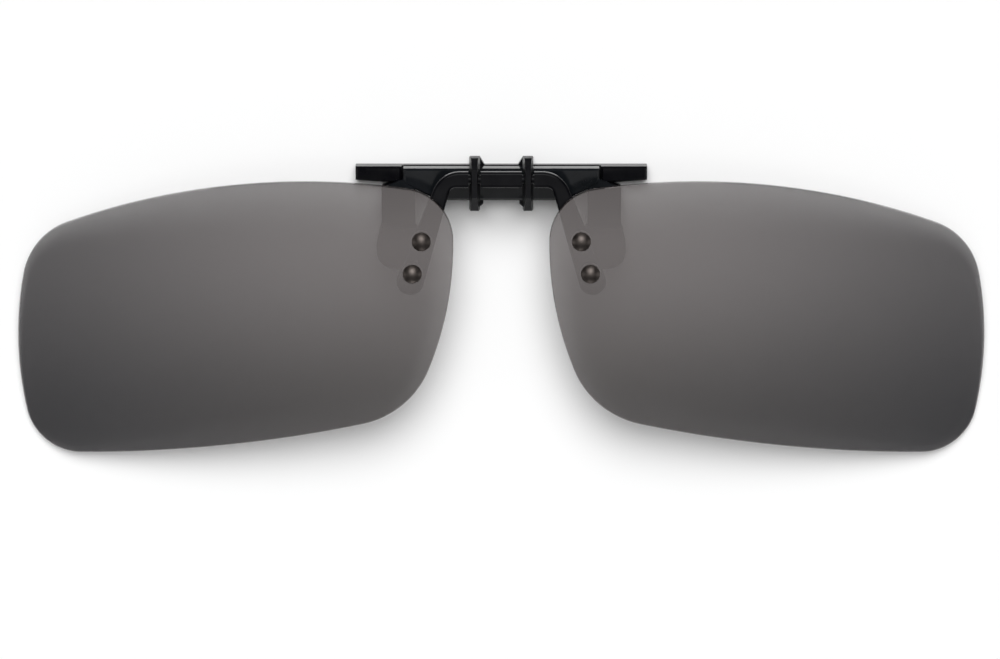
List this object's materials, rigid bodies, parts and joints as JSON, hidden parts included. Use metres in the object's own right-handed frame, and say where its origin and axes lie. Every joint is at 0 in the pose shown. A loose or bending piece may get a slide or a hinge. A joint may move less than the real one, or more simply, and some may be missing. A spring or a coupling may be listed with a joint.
{
  "type": "clip-on flip lenses",
  "caption": "Rimless tinted clip-on lenses that flip up on a hinged bridge bar, held to spectacles by a sprung two-jaw clip with vinyl-sleeved prongs",
  "frame": {"origin": "middle of the bounding box in X and Y, on the surface that the part lies on", "axes": "+X across both lenses, +Y from the lenses up to the clip, +Z out through the lens fronts; the part lies on its back"},
  "size_m": [0.1334, 0.0422, 0.0111],
  "materials": {
    "gloss_black": "moulded gloss black nylon",
    "satin_black": "moulded satin black nylon",
    "vinyl": "soft dipped vinyl, smoky black",
    "nylon_dark": "plain dark nylon",
    "nylon_clear": "natural translucent nylon",
    "gunmetal": "polished gunmetal plate",
    "steel": "drawn spring steel",
    "tinted_lens": "smooth neutral grey polarised film between clear skins"
  },
  "bodies": {
    "clip_rear": {"rear_jaw": "gloss_black", "rear_sleeve_left": "vinyl", "rear_sleeve_right": "vinyl"},
    "clip_front": {"front_jaw": "gloss_black", "jaw_pin": "steel", "front_sleeve_left": "vinyl", "front_sleeve_right": "vinyl", "jaw_spring_left": "steel", "jaw_spring_right": "steel", "hinge_saddle_left": "satin_black", "hinge_saddle_right": "satin_black", "friction_block_left": "nylon_dark", "friction_block_right": "nylon_dark"},
    "lens_frame": {"lens_bridge": "gloss_black", "lens_left": "tinted_lens", "lens_right": "tinted_lens", "rivet_left_upper": "gunmetal", "rivet_left_lower": "gunmetal", "rivet_right_upper": "gunmetal", "rivet_right_lower": "gunmetal", "washer_left_upper": "nylon_clear", "washer_left_lower": "nylon_clear", "washer_right_upper": "nylon_clear", "washer_right_lower": "nylon_clear"}
  },
  "joints": [
    {"name": "lens_flip", "type": "hinge", "parent": "clip_front", "child": "lens_frame", "pos_m": [0, 0.01806, 0.0085], "axis": [-1, 0, 0], "range_deg": [0, 95]},
    {"name": "jaw_open", "type": "hinge", "parent": "clip_rear", "child": "clip_front", "pos_m": [0, 0.01732, 0.0019], "axis": [-1, 0, 0], "range_deg": [0, 24], "stiffness_Nm_per_rad": 0.02, "springref_deg": -34.38, "deforming": ["jaw_spring_left", "jaw_spring_right"]}
  ]
}
